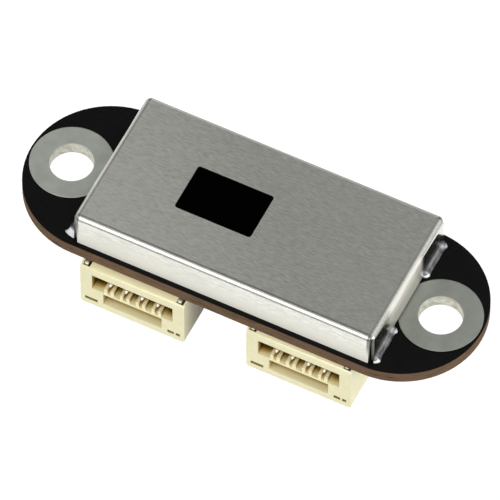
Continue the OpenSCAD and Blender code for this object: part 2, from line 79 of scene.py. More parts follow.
# ---- Studio ----
# A white paper floor under the module, which its screws hold up, in a pale grey room. A wide
# softbox stands in front of the module, and a smaller one to its right.
def linear(hex_colour):
    """sRGB hex to linear RGBA."""
    channels = [int(hex_colour[i : i + 2], 16) / 255 for i in (1, 3, 5)]
    return tuple(
        c / 12.92 if c <= 0.04045 else ((c + 0.055) / 1.055) ** 2.4 for c in channels
    ) + (1,)


def add(tree, kind, settings=None, **links):
    """Adds a node. Each link is a number, a hex colour, an output, or a node whose first output
    is meant. It goes to the input of that name, or of that number as in0, in1. The setting
    stops fills a colour ramp from (place, hex colour)."""
    node = tree.nodes.new("ShaderNode" + kind)
    for name, value in (settings or {}).items():
        if name == "stops":
            elements = node.color_ramp.elements
            while len(elements) < len(value):
                elements.new(1)
            for element, (place, colour) in zip(elements, value):
                element.position = place
                element.color = linear(colour)
        else:
            setattr(node, name, value)
    for name, value in links.items():
        key = int(name[2:]) if name[:2] == "in" else name.replace("_", " ")
        if isinstance(value, bpy.types.Node):
            value = next(output for output in value.outputs if output.enabled)
        if isinstance(value, bpy.types.NodeSocket):
            tree.links.new(value, node.inputs[key])
        else:
            node.inputs[key].default_value = linear(value) if isinstance(value, str) else value
    return node


def blank(data):
    """Empty node tree of a new material or world."""
    data.use_nodes = True
    data.node_tree.nodes.clear()
    return data.node_tree


studio = bpy.data.worlds.new("studio")
room = blank(studio)
toward = add(room, "SeparateXYZ", Vector=add(room, "TexCoord").outputs["Generated"])
walls = add(room, "ValToRGB", {"stops": [
    (0.0, "#C6C6C6"), (0.12, "#CECECE"), (0.3, "#D8D8D8"), (0.6, "#E4E4E4"),
]}, Fac=toward.outputs["Z"])
# Overhead and behind hang a narrow soft panel on the left and a wide one on the right, with a
# dark gap between them
across = add(room, "MapRange", Value=toward.outputs["X"], From_Min=-1.0, From_Max=1.0)
panels = add(room, "ValToRGB", {"stops": [
    (0.0, "#909090"), (0.15, "#B4B4B4"), (0.22, "#E8E8E8"), (0.29, "#E0E0E0"), (0.34, "#545654"),
    (0.44, "#545654"), (0.5, "#FFFFFF"), (0.8, "#FFFFFF"), (0.92, "#C8C8C8"),
]}, Fac=across)
rearward = add(room, "MapRange", {"interpolation_type": "SMOOTHSTEP"}, Value=toward.outputs["Y"],
               From_Min=-0.35, From_Max=-0.15)
overhead = add(room, "MapRange", {"interpolation_type": "SMOOTHSTEP"}, Value=toward.outputs["Z"],
               From_Min=0.5, From_Max=0.68)
panelled = add(room, "Math", {"operation": "MULTIPLY"}, in0=rearward, in1=overhead)
ceiling = add(room, "Mix", {"data_type": "RGBA"}, in0=panelled, in6=walls, in7=panels)
# The table under the paper is dark, and sends little light up
ray = add(room, "LightPath")
beneath = add(room, "MapRange", Value=toward.outputs["Z"], From_Min=0.08, From_Max=-0.12)
unlit = add(room, "Math", {"operation": "MULTIPLY"}, in0=beneath, in1=ray.outputs["Is Diffuse Ray"])
lower = add(room, "Mix", {"data_type": "RGBA"}, in0=unlit, in6=ceiling, in7="#404040")
shown = add(room, "Mix", {"data_type": "RGBA"}, in0=ray.outputs["Is Camera Ray"],
            in6=lower, in7="#FFFFFF")
sky = add(room, "Background", Color=shown, Strength=1.0)
add(room, "OutputWorld", Surface=sky)
bpy.context.scene.world = studio

FLOOR_REACH, FLOOR_DROP = 80, 30
floor_mesh = bpy.data.meshes.new("floor")
floor_mesh.from_pydata(
    [(x * FLOOR_REACH * MM, y * FLOOR_REACH * MM, -FLOOR_DROP * MM)
     for x, y in ((-1, -1), (1, -1), (1, 1), (-1, 1))],
    [], [(0, 1, 2, 3)],
)
floor = bpy.data.objects.new("floor", floor_mesh)
bpy.context.scene.collection.objects.link(floor)
# The paper is white to the camera and in mirrors. To other rays it is grey, so that it sends
# up less light
paper = bpy.data.materials.new("matt white paper")
tree = blank(paper)
ray = add(tree, "LightPath")
mirrored = add(tree, "Math", {"operation": "MAXIMUM"},
               in0=ray.outputs["Is Glossy Ray"], in1=ray.outputs["Is Transmission Ray"])
seen = add(tree, "Math", {"operation": "MAXIMUM"}, in0=ray.outputs["Is Camera Ray"], in1=mirrored)
dim = add(tree, "BsdfDiffuse", Color="#7C7C7C")
white = add(tree, "BsdfDiffuse", Color="#F8F8F8")
lift = add(tree, "Emission", Color="#FFFFFF", Strength=0.15)
lit = add(tree, "AddShader", in0=white, in1=lift)
look = add(tree, "MixShader", in0=seen, in1=dim, in2=lit)
# From below, the paper does not hide the module
clear = add(tree, "BsdfTransparent")
under = add(tree, "NewGeometry").outputs["Backfacing"]
look = add(tree, "MixShader", in0=under, in1=look, in2=clear)
add(tree, "OutputMaterial", Surface=look)
floor_mesh.materials.append(paper)

LAMP_FAR = 0.8
for name, direction, width, height, watts in (
    ("front softbox", (-0.15, -0.82, 0.5), 1.5, 0.5, 4.7),
    ("side softbox", (0.97, 0.04, 0.12), 0.5, 0.4, 3.1),
):
    softbox = bpy.data.lights.new(name, "AREA")
    softbox.shape = "RECTANGLE"
    softbox.size = width
    softbox.size_y = height
    softbox.energy = watts
    lamp = bpy.data.objects.new(name, softbox)
    lamp.location = Vector(direction) * LAMP_FAR
    lamp.rotation_euler = lamp.location.to_track_quat("Z", "Y").to_euler()
    bpy.context.scene.collection.objects.link(lamp)


# ---- Circuit board ----
# Glass-epoxy laminate, 1 mm thick, routed to a stadium outline. Both faces are under black
# solder mask. The routed edge is bare and shows its brown glass layers.
def material_in_mm(name):
    """New material, its node tree, and the piece's own coordinates in millimetres."""
    material = bpy.data.materials.new(name)
    tree = blank(material)
    place = add(tree, "TexCoord").outputs["Object"]
    return material, tree, add(tree, "VectorMath", {"operation": "SCALE"}, in0=place, Scale=1 / MM)


def finish(tree, bump=None, **links):
    """Principled shader to the output; bump is (height, depth in mm)."""
    if bump:
        links["Normal"] = add(tree, "Bump", Height=bump[0], Distance=bump[1] * MM)
    add(tree, "OutputMaterial", Surface=add(tree, "BsdfPrincipled", **links))


def dress(node_name, material):
    """Gives a CAD node its material."""
    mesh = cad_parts[node_name].data
    mesh.materials.clear()
    mesh.materials.append(material)


# Solder mask, curtain-coated and cured: black, low sheen, with faint relief of the tracks
# under it. The bare edge is cut resin and glass: dull brown, in layers 0.17 mm thick.
board_look, tree, mm = material_in_mm("solder-masked glass epoxy")
turned = add(tree, "SeparateXYZ", Vector=add(tree, "NewGeometry").outputs["Normal"])
flat = add(tree, "Math", {"operation": "ABSOLUTE"}, in0=turned.outputs["Z"])
masked = add(tree, "Math", {"operation": "GREATER_THAN"}, in0=flat, in1=0.5)
layers = add(tree, "VectorMath", {"operation": "MULTIPLY"}, in0=mm, in1=(0.9, 0.9, 5.8))
fibres = add(tree, "TexNoise", Vector=layers, Scale=1.0, Detail=4.0, Roughness=0.65)
glass = add(tree, "ValToRGB", {"stops": [
    (0.3, "#4A3A2C"), (0.45, "#685542"), (0.55, "#745A48"), (0.7, "#6A5A3C"),
]}, Fac=fibres)
blotch = add(tree, "TexNoise", Vector=mm, Scale=0.6, Detail=3.0)
mask_tone = add(tree, "ValToRGB", {"stops": [(0.3, "#030303"), (0.7, "#070707")]}, Fac=blotch)
tone = add(tree, "Mix", {"data_type": "RGBA"}, in0=masked, in6=glass, in7=mask_tone)
tracks = add(tree, "TexBrick", {"offset": 0.35}, Vector=mm, Scale=1.0, Brick_Width=2.6,
             Row_Height=0.55, Mortar_Size=0.09, Mortar_Smooth=0.6).outputs["Fac"]
track_relief = add(tree, "Math", {"operation": "MULTIPLY"}, in0=tracks, in1=masked)
grit = add(tree, "TexNoise", Vector=mm, Scale=22.0, Detail=2.0)
rough = add(tree, "MapRange", Value=blotch, To_Min=0.45, To_Max=0.6)
edge_rough = add(tree, "Mix", in0=masked, in2=0.85, in3=rough)
relief = add(tree, "Math", {"operation": "MULTIPLY_ADD"}, in0=grit, in1=0.25, in2=track_relief)
finish(tree, bump=(relief, 0.012), Base_Color=tone, Roughness=edge_rough, Specular_IOR_Level=0.1)
dress("pcb", board_look)


# ---- Mounting rings ----
# Plated copper, one ring on each face round an M3 hole and a barrel through it. Hot air
# levels the tin, so it thins to a soft edge and takes a slightly cloudy grey.
def install(piece_name, mesh, node_name, slot, *looks):
    """New piece for a mesh in metres, in place of a CAD node."""
    mesh.name = piece_name
    for look in looks:
        mesh.materials.append(look)
    piece = bpy.data.objects.new(piece_name, mesh)
    bpy.context.scene.collection.objects.link(piece)
    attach(piece, "root")
    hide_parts(node_name)
    return piece


# Corners within SAME_PLACE mm are one, and an edge that turns by HARD_ANGLE is hard
SAME_PLACE, HARD_ANGLE = 0.0001, math.radians(40)


def eased_copy(node_name, piece_name, slot, look, rounding, datum=(0, 0, 0)):
    """New piece with a CAD node's shape and its hard outer edges rounded. Each entry of
    rounding is a radius and a test of an edge's two ends. All are in mm, from the datum."""
    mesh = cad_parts[node_name].data.copy()
    mesh.materials.clear()
    mesh.transform(Matrix.Translation(-Vector(datum) * MM))
    shape = bmesh.new()
    shape.from_mesh(mesh)
    bmesh.ops.remove_doubles(shape, verts=shape.verts, dist=SAME_PLACE * MM)
    for radius, chosen in rounding:
        hard = [
            edge for edge in shape.edges
            if edge.is_convex and edge.calc_face_angle(0) > HARD_ANGLE
            and chosen(*(end.co / MM for end in edge.verts))
        ]
        made = bmesh.ops.bevel(shape, geom=hard, offset=radius * MM, offset_type="OFFSET",
                               segments=3, profile=0.5, affect="EDGES", clamp_overlap=True)
        for face in made["faces"]:
            face.smooth = True
    shape.to_mesh(mesh)
    shape.free()
    mesh.normals_split_custom_set([(0, 0, 0)] * len(mesh.loops))
    install(piece_name, mesh, node_name, slot, look).location = Vector(datum) * MM
    return mesh


def everywhere(start, end):
    """Every hard edge."""
    return True


# Tin, levelled by hot air: cloudy grey. Painted light makes it lighter at the left-hand hole and
# painted shade darker at the right-hand one. The barrels are rough from the drill, and catch light in
# spots.
tin_look, tree, mm = material_in_mm("hot-air levelled tin")
cloud = add(tree, "TexNoise", Vector=mm, Scale=0.9, Detail=4.0, Roughness=0.6)
# Lit and shaded copies of the tin tone, blended along the board as painted light and shade
lit_tin_tone = add(tree, "ValToRGB", {"stops": [(0.3, "#ABB0A7"), (0.7, "#B8BCB3")]}, Fac=cloud)
shaded_tin_tone = add(tree, "ValToRGB", {"stops": [(0.3, "#979C94"), (0.7, "#A2A69D")]}, Fac=cloud)
place = add(tree, "SeparateXYZ", Vector=mm)
painted_shade_rightward = add(tree, "MapRange", Value=place.outputs["X"], From_Min=-14.0, From_Max=14.0)
tin_tone_with_painted_light = add(tree, "Mix", {"data_type": "RGBA"}, in0=painted_shade_rightward, in6=lit_tin_tone, in7=shaded_tin_tone)
turned = add(tree, "SeparateXYZ", Vector=add(tree, "NewGeometry").outputs["Normal"])
flat = add(tree, "Math", {"operation": "ABSOLUTE"}, in0=turned.outputs["Z"])
in_barrel = add(tree, "Math", {"operation": "LESS_THAN"}, in0=flat, in1=0.4)
drilled = add(tree, "TexNoise", Vector=mm, Scale=2.5, Detail=3.0, Roughness=0.6)
barrel_tone = add(tree, "ValToRGB", {"stops": [(0.3, "#A8A494"), (0.7, "#DEDCCF")]}, Fac=drilled)
tone = add(tree, "Mix", {"data_type": "RGBA"}, in0=in_barrel, in6=tin_tone_with_painted_light, in7=barrel_tone)
rough = add(tree, "MapRange", Value=cloud, To_Min=0.36, To_Max=0.5)
ripple = add(tree, "TexNoise", Vector=mm, Scale=3.5, Detail=3.0)
finish(tree, bump=(ripple, 0.012), Base_Color=tone, Metallic=0.7, Roughness=rough)

RING_EDGE = 0.05
for side in ("left", "right"):
    eased_copy(f"mount_ring_{side}", f"tinned_ring_{side}", "tinned_copper", tin_look,
               [(RING_EDGE, everywhere)])


# ---- Shielding can ----
# Nickel-silver sheet, 0.2 mm thick, brushed along its length before it is cut and folded down
# on four sides. The folds come out of the press smoother, and the corners stay open.
can_look, tree, mm = material_in_mm("brushed nickel silver")
slope = add(tree, "SeparateXYZ", Vector=add(tree, "NewGeometry").outputs["Normal"])
end_wall = add(tree, "Math", {"operation": "ABSOLUTE"}, in0=slope.outputs["X"])
on_end = add(tree, "Math", {"operation": "GREATER_THAN"}, in0=end_wall, in1=0.7)
# Brush strokes are about 0.5 mm long. They lie 0.03 mm apart, and are drawn 0.07 mm apart
lengthwise = add(tree, "VectorMath", {"operation": "MULTIPLY"}, in0=mm, in1=(1.9, 15.0, 15.0))
downwise = add(tree, "VectorMath", {"operation": "MULTIPLY"}, in0=mm, in1=(15.0, 15.0, 1.9))
grain_at = add(tree, "Mix", {"data_type": "VECTOR"}, in0=on_end, in4=lengthwise, in5=downwise)
grain = add(tree, "TexNoise", Vector=grain_at, Scale=1.0, Detail=5.0, Roughness=0.65)
brushed = add(tree, "ValToRGB", {"stops": [(0.2, "#BCBBB4"), (0.8, "#FFFEF6")]}, Fac=grain)
# Painted light: the lid gets lighter towards its left and front
place = add(tree, "SeparateXYZ", Vector=mm)
across = add(tree, "Math", {"operation": "MULTIPLY_ADD"}, in0=place.outputs["Y"], in1=0.8,
             in2=place.outputs["X"])
painted_light_and_shade_scale = add(tree, "MapRange", Value=across, From_Min=-14.0, From_Max=2.0,
            To_Min=1.32, To_Max=1.05)
on_lid = add(tree, "MapRange", Value=slope.outputs["Z"], From_Min=0.5, From_Max=1.0)
painted_light_and_shade_scale = add(tree, "Mix", in0=on_lid, in2=1.06, in3=painted_light_and_shade_scale)
# Painted shade darkens the folds a little, most of all where the end folds leave the lid
end_fold = add(tree, "ValToRGB", {"stops": [
    (0.03, "#FFFFFF"), (0.1, "#9C9C9C"), (0.35, "#9C9C9C"), (0.55, "#FFFFFF"),
]}, Fac=end_wall)
steep = add(tree, "Math", {"operation": "ABSOLUTE"}, in0=slope.outputs["Y"])
long_fold = add(tree, "ValToRGB", {"stops": [
    (0.03, "#FFFFFF"), (0.15, "#D8D8D8"), (0.85, "#D8D8D8"), (0.97, "#FFFFFF"),
]}, Fac=steep)
painted_fold_shade = add(tree, "Math", {"operation": "MULTIPLY"}, in0=end_fold, in1=long_fold)
painted_light_and_shade_scale = add(tree, "Math", {"operation": "MULTIPLY"}, in0=painted_light_and_shade_scale, in1=painted_fold_shade)
bright = add(tree, "VectorMath", {"operation": "SCALE"}, in0=brushed, Scale=painted_light_and_shade_scale)
# Roughness of the walls, then of the folds, which the press has burnished, then of the lid
finish_by_slope = add(tree, "ValToRGB", {"stops": [
    (0.05, "#B8B8B8"), (0.25, "#7C7C7C"), (0.95, "#7C7C7C"), (0.995, "#949494"),
]}, Fac=slope.outputs["Z"])
# The strokes run down the end walls, which mirror what is below them
finish_by_slope = add(tree, "Mix", in0=on_end, in2=finish_by_slope, in3=0.17)
streak = add(tree, "MapRange", Value=grain, From_Min=0.3, From_Max=0.7, To_Min=0.96, To_Max=1.04)
rough = add(tree, "Math", {"operation": "MULTIPLY"}, in0=finish_by_slope, in1=streak)
# Flux and solder heat have left the foot of the long walls matt and pale, and the end walls
# between their solder joints matt
foot = add(tree, "MapRange", {"interpolation_type": "SMOOTHSTEP"}, Value=place.outputs["Z"],
           From_Min=3.2, From_Max=1.4)
under_bend = add(tree, "MapRange", {"interpolation_type": "SMOOTHSTEP"}, Value=place.outputs["Z"],
                 From_Min=4.05, From_Max=3.85, To_Max=0.9)
off_front = add(tree, "MapRange", {"interpolation_type": "SMOOTHSTEP"}, Value=place.outputs["Y"],
                From_Min=-3.6, From_Max=-2.6)
off_back = add(tree, "MapRange", {"interpolation_type": "SMOOTHSTEP"}, Value=place.outputs["Y"],
               From_Min=2.4, From_Max=1.7)
off_joint = add(tree, "Math", {"operation": "MULTIPLY"}, in0=off_front, in1=off_back)
off_joint = add(tree, "Math", {"operation": "MULTIPLY"}, in0=off_joint, in1=under_bend)
end_share = add(tree, "MapRange", Value=end_wall, From_Min=0.4, From_Max=0.7)
matt = add(tree, "Mix", in0=end_share, in2=foot, in3=off_joint)
metal = add(tree, "MapRange", Value=matt, To_Min=1.0, To_Max=0.15)
# On the end walls the tone is painted reflection: dark low down, where they would mirror the black
# board, above a pale foot that would mirror the tinned ring
rise = add(tree, "MapRange", Value=place.outputs["Z"], From_Max=4.05)
painted_end_wall_reflection = add(tree, "ValToRGB", {"stops": [
    (0.08, "#F6F5EC"), (0.11, "#A8A59A"), (0.3, "#A8A497"), (0.6, "#BBB6A8"), (0.9, "#F4F2E8"),
]}, Fac=rise)
matt_tone_with_painted_reflection = add(tree, "Mix", {"data_type": "RGBA"}, in0=on_end, in6="#F4F2E6", in7=painted_end_wall_reflection)
tone = add(tree, "Mix", {"data_type": "RGBA"}, in0=matt, in6=bright, in7=matt_tone_with_painted_reflection)
# The folds have less relief than the flats
squareness = add(tree, "Math", {"operation": "MAXIMUM"}, in0=steep, in1=end_wall)
squareness = add(tree, "Math", {"operation": "MAXIMUM"}, in0=squareness, in1=slope.outputs["Z"])
depth = add(tree, "MapRange", Value=squareness, From_Min=0.97, From_Max=0.995, To_Min=0.1)
relief = add(tree, "Math", {"operation": "MULTIPLY"}, in0=grain, in1=depth)
finish(tree, bump=(relief, 0.0025), Base_Color=tone, Metallic=metal, Roughness=rough)

# Sheared edges of the sheet: torn grey metal, without the brushing
edge_look, tree, mm = material_in_mm("sheared nickel silver")
tear = add(tree, "TexNoise", Vector=mm, Scale=9.0, Detail=3.0)
tone = add(tree, "ValToRGB", {"stops": [(0.3, "#6B6960"), (0.7, "#A8A69A")]}, Fac=tear)
finish(tree, bump=(tear, 0.02), Base_Color=tone, Metallic=1.0, Roughness=0.5)

# Points within this many mm of a place count as on it
NEAR = 0.01


def core_point(point, half_x, half_y, top):
    """Nearest place to a point, in mm, in the box through the centres of a block's bends."""
    return Vector((
        max(-half_x, min(half_x, point.x)), max(-half_y, min(half_y, point.y)), min(top, point.z),
    ))


def rounded_block(half_x, half_y, low, high, rounding):
    """Mesh of a block, in mm, whose upright and upper edges are round."""
    shape = bmesh.new()
    bmesh.ops.create_cube(shape, size=2)
    for vert in shape.verts:
        vert.co = (vert.co.x * half_x, vert.co.y * half_y, high if vert.co.z > 0 else low)
    edges = [edge for edge in shape.edges if max(vert.co.z for vert in edge.verts) > low]
    bmesh.ops.bevel(shape, geom=edges, offset=rounding, offset_type="OFFSET", segments=10,
                    profile=0.5, affect="EDGES")
    for vert in shape.verts:
        centre = core_point(vert.co, half_x - rounding, half_y - rounding, high - rounding)
        if (vert.co - centre).length > 0.1 * NEAR:
            vert.co = centre + (vert.co - centre).normalized() * rounding
    mesh = bpy.data.meshes.new("block")
    shape.to_mesh(mesh)
    shape.free()
    return mesh


def prism(outline, sweep):
    """Mesh of a solid, in mm, from a flat outline and the way it is pushed out."""
    count = len(outline)
    shape = bmesh.new()
    near = [shape.verts.new(point) for point in outline]
    far = [shape.verts.new(Vector(point) + Vector(sweep)) for point in outline]
    shape.faces.new(near)
    shape.faces.new(far)
    for i in range(count):
        shape.faces.new((near[i], near[(i + 1) % count], far[(i + 1) % count], far[i]))
    bmesh.ops.recalc_face_normals(shape, faces=shape.faces)
    mesh = bpy.data.meshes.new("prism")
    shape.to_mesh(mesh)
    shape.free()
    return mesh


def carved(block, cutters):
    """Mesh of a block with other meshes cut out of it."""
    tools = [bpy.data.objects.new("cutter", mesh) for mesh in cutters]
    body = bpy.data.objects.new("block", block)
    for tool in tools + [body]:
        bpy.context.scene.collection.objects.link(tool)
    for tool in tools:
        cut = body.modifiers.new("cut", "BOOLEAN")
        cut.operation = "DIFFERENCE"
        cut.solver = "EXACT"
        cut.object = tool
    evaluated = body.evaluated_get(bpy.context.evaluated_depsgraph_get())
    result = bpy.data.meshes.new_from_object(evaluated)
    for tool in tools + [body]:
        bpy.data.objects.remove(tool)
    return result


BEND, SHEET = 0.5, 0.2
low, high = (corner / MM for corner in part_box("shield_can"))
foot_centre = Vector(((low.x + high.x) / 2, 0, low.z))
half_x, half_y, tall = (high.x - low.x) / 2, high.y, high.z - low.z
core = (half_x - BEND, half_y - BEND, tall - BEND)
# From here the sizes are in mm from the middle of the can's foot. Cutters reach past the sheet
PAST = 1
QUARTER = [math.radians(15 * step) for step in range(7)]
# The window's middle, half the spans between the centres of its round corners, and their
# radius. It is cut from WINDOW_CUT upwards
WINDOW_X, WINDOW_LONG, WINDOW_WIDE, WINDOW_CORNER = -2.75, 2.8, 1.75, 0.2
WINDOW_CUT = 2
window_corners = [
    Vector((WINDOW_X + sx * WINDOW_LONG, sy * WINDOW_WIDE, WINDOW_CUT))
    + WINDOW_CORNER * Vector((math.cos(start + a), math.sin(start + a), 0))
    for sx, sy, start in ((1, 1, 0), (-1, 1, math.pi / 2), (-1, -1, math.pi), (1, -1, 1.5 * math.pi))
    for a in QUARTER
]
# The middle of each end wall stops short of the board, to clear the mounting ring
ARCH_X, ARCH_Y, ARCH_Z, ARCH_CORNER = 13, 2.2, 0.15, 0.1
arch = [
    Vector((-ARCH_X, side * ARCH_Y, ARCH_Z))
    + ARCH_CORNER * Vector((0, math.cos(start + a), math.sin(start + a)))
    for side, start in ((1, 0), (-1, math.pi / 2))
    for a in QUARTER
] + [Vector((-ARCH_X, side * (ARCH_Y + ARCH_CORNER), -PAST)) for side in (-1, 1)]
cutters = [
    rounded_block(half_x - SHEET, half_y - SHEET, -PAST, tall - SHEET, BEND - SHEET),
    prism(window_corners, (0, 0, WINDOW_CUT)),
    prism(arch, (2 * ARCH_X, 0, 0)),
]
# The slit at each open corner narrows from the board to the bend
SLIT_FOOT, SLIT_HEAD, SLIT_UNDER_LID, SLIT_Y = -0.35, -0.27, 0.22, 5.55
slit_top = tall - SLIT_UNDER_LID
slit = [(SLIT_FOOT, -PAST), (PAST, -PAST), (PAST, slit_top), (SLIT_HEAD, slit_top), (SLIT_FOOT, 0)]
for sx in (-1, 1):
    for sy in (-1, 1):
        corner = [(sx * (half_x + x), sy * SLIT_Y, z) for x, z in slit]
        cutters.append(prism(corner, (0, sy * PAST, 0)))
sheet = carved(rounded_block(half_x, half_y, 0, tall, BEND), cutters)
# Bends are shaded as true rounds. Faces on neither side of the sheet are sheared edges
ALIGNED = 0.8
normals = [Vector() for loop in sheet.loops]
for face in sheet.polygons:
    corners = [sheet.vertices[i].co for i in face.vertices]
    spokes = [corner - core_point(corner, *core) for corner in corners]
    outer = all(abs(spoke.length - BEND) < NEAR for spoke in spokes)
    inner = all(abs(spoke.length - BEND + SHEET) < NEAR for spoke in spokes)
    way = 1 if outer else -1
    along = all(face.normal.dot(spoke.normalized()) * way > ALIGNED for spoke in spokes)
    skin = (outer or inner) and along
    face.use_smooth = skin
    face.material_index = 0 if skin else 1
    for loop, spoke in zip(face.loop_indices, spokes):
        normals[loop] = spoke.normalized() * way if skin else face.normal
sheet.normals_split_custom_set(normals)
sheet.transform(Matrix.Scale(MM, 4) @ Matrix.Translation(foot_centre))
install("folded_can", sheet, "shield_can", "brushed_sheet", can_look, edge_look)

# ---- Window ----
# Acrylic filter, cast and cut, that is black to the eye and passes near infrared. Its
# coating takes the reflections off. It hangs under the lid on a die-cut adhesive frame.
filter_look, tree, mm = material_in_mm("coated infrared acrylic")
haze = add(tree, "TexNoise", Vector=mm, Scale=1.5, Detail=2.0)
rough = add(tree, "MapRange", Value=haze, To_Min=0.12, To_Max=0.2)
finish(tree, Base_Color="#010101", Roughness=rough, Specular_IOR_Level=0.02)
dress("window_filter", filter_look)

tape_look, tree, mm = material_in_mm("acrylic foam tape")
cells = add(tree, "TexVoronoi", Vector=mm, Scale=14.0)
tone = add(tree, "ValToRGB", {"stops": [(0.0, "#101010"), (1.0, "#262626")]}, Fac=cells)
finish(tree, bump=(cells, 0.02), Base_Color=tone, Roughness=0.9)
dress("filter_tape", tape_look)

# ---- Solder ----
# Tin, silver and copper, melted on by hand at the can's short walls and by reflow under the
# headers. It freezes bright, with fine frost, and takes in its dark surroundings.
solder_look, tree, mm = material_in_mm("reflowed solder")
drawn_out = add(tree, "VectorMath", {"operation": "MULTIPLY"}, in0=mm, in1=(4.0, 1.2, 4.0))
frost = add(tree, "TexNoise", Vector=drawn_out, Scale=1.0, Detail=5.0, Roughness=0.6)
tone = add(tree, "ValToRGB", {"stops": [(0.3, "#4A4B4D"), (0.7, "#A2A3A5")]}, Fac=frost)
rough = add(tree, "MapRange", Value=frost, To_Min=0.15, To_Max=0.5)
# Painted highlight: the bead at each end of a joint is white and less metallic low down
place = add(tree, "SeparateXYZ", Vector=add(tree, "TexCoord").outputs["Generated"])
off_middle = add(tree, "Math", {"operation": "SUBTRACT"}, in0=place.outputs["Y"], in1=0.5)
off_middle = add(tree, "Math", {"operation": "ABSOLUTE"}, in0=off_middle)
painted_end_highlight = add(tree, "MapRange", {"interpolation_type": "SMOOTHSTEP"}, Value=off_middle,
          From_Min=0.34, From_Max=0.46)
low_down = add(tree, "MapRange", {"interpolation_type": "SMOOTHSTEP"}, Value=place.outputs["Z"],
               From_Min=0.5, From_Max=0.3)
painted_end_highlight = add(tree, "Math", {"operation": "MULTIPLY"}, in0=painted_end_highlight, in1=low_down)
tone = add(tree, "Mix", {"data_type": "RGBA"}, in0=painted_end_highlight, in6=tone, in7="#FFFFFF")
metal = add(tree, "MapRange", Value=painted_end_highlight, To_Min=1.0, To_Max=0.1)
finish(tree, bump=(frost, 0.08), Base_Color=tone, Metallic=metal, Roughness=rough)
for name in ("left_header_solder", "right_header_solder"):
    dress(name, solder_look)


def skinned(rings):
    """Mesh in metres through rings of points in mm, smooth and closed at both ends."""
    shape = bmesh.new()
    rows = [[shape.verts.new(Vector(point) * MM) for point in ring] for ring in rings]
    count = len(rings[0])
    for near, far in zip(rows, rows[1:]):
        for i in range(count):
            face = shape.faces.new((near[i], near[(i + 1) % count], far[(i + 1) % count], far[i]))
            face.smooth = True
    shape.faces.new(rows[0])
    shape.faces.new(rows[-1])
    bmesh.ops.recalc_face_normals(shape, faces=shape.faces)
    mesh = bpy.data.meshes.new("skin")
    shape.to_mesh(mesh)
    shape.free()
    return mesh


# Surface tension draws each joint up the wall and rounds both ends to a bead. HOLLOW is how
# far its section sags, SWELLING and LUMPS are shares of its section
BEAD, BEAD_WIDTH = 0.3, 0.15
FULL, SWELLING, LUMPS, LUMPS_PER_MM = 0.96, 0.16, 0.12, 2.5
HOLLOW = {"left": 1.3, "right": 0.95}
STATIONS, STEPS = 40, 10
# A little under a half, so that the end rings keep a size
END_HALF = 0.499
for side, hollow in HOLLOW.items():
    way = -1 if side == "left" else 1
    for end in ("front", "back"):
        low, high = (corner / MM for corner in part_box(f"can_solder_{end}_{side}"))
        wall = high.x if side == "left" else low.x
        reach, climb, run = high.x - low.x, high.z - low.z, high.y - low.y
        rings = []
        for station in range(STATIONS + 1):
            # Stations are closer together towards the ends
            along = run * (0.5 - END_HALF * math.cos(math.pi * station / STATIONS))
            from_end = min(along, run - along)
            rounding = math.sqrt(1 - max(0, 1 - from_end / BEAD) ** 2)
            bead = SWELLING * math.exp(-(((from_end - BEAD) / BEAD_WIDTH) ** 2))
            lump = LUMPS * noise.noise(Vector((way, LUMPS_PER_MM * along, high.y)))
            size = rounding * (FULL + bead + lump)
            ring = [Vector((wall, low.y + along, low.z))]
            for step in range(STEPS + 1):
                down = step / STEPS
                ring.append(Vector((
                    wall + way * reach * size * down**hollow,
                    low.y + along,
                    low.z + climb * min(1, size) * (1 - down) ** hollow,
                )))
            rings.append(ring)
        install(f"solder_fillet_{end}_{side}", skinned(rings), f"can_solder_{end}_{side}",
                "solder", solder_look)

# ---- Header housings ----
# Nylon, injection moulded in cream, one for each plug. Spark erosion of the mould leaves the
# faces slightly matt. The brown of the deep openings, where light bounces many times, is painted shade.
HOUSINGS = ("left", "right")
# Places in mm from the middle of the mating face's upper edge
SIDE_X, UNDERSIDE_Z = 3.86, -4.2
OPENING_X, ROOF_Z, FLOOR_Z, FACE_Y, END_Y = 3.25, -0.79, -3.87, 0.02, 3.3
SLIT_X, SLIT_Z = 3.25, -3.84
nylon, tree, mm = material_in_mm("moulded cream nylon")
part = add(tree, "SeparateXYZ", Vector=mm)
sideways = add(tree, "Math", {"operation": "ABSOLUTE"}, in0=part.outputs["X"])
inside = add(tree, "Math", {"operation": "LESS_THAN"}, in0=sideways, in1=OPENING_X)
for axis, comparison, limit in (
    ("Y", "GREATER_THAN", FACE_Y), ("Y", "LESS_THAN", END_Y),
    ("Z", "LESS_THAN", ROOF_Z), ("Z", "GREATER_THAN", FLOOR_Z),
):
    within = add(tree, "Math", {"operation": comparison}, in0=part.outputs[axis], in1=limit)
    inside = add(tree, "Math", {"operation": "MULTIPLY"}, in0=inside, in1=within)
# Inside is painted shade: darker with depth, and darker on the sides and roof than on the floor
turned = add(tree, "SeparateXYZ", Vector=add(tree, "NewGeometry").outputs["Normal"])
on_side = add(tree, "Math", {"operation": "ABSOLUTE"}, in0=turned.outputs["X"])
on_roof = add(tree, "MapRange", Value=turned.outputs["Z"], From_Min=0.0, From_Max=-1.0,
              To_Max=0.6)
shaded = add(tree, "Math", {"operation": "MULTIPLY_ADD"}, in0=on_side, in1=0.3, in2=on_roof)
facing = add(tree, "MapRange", Value=turned.outputs["Y"], From_Min=-1.0, From_Max=0.0,
             To_Min=0.15, To_Max=0.8)
depth = add(tree, "Math", {"operation": "MULTIPLY_ADD"}, in0=part.outputs["Y"], in1=facing,
            in2=shaded)
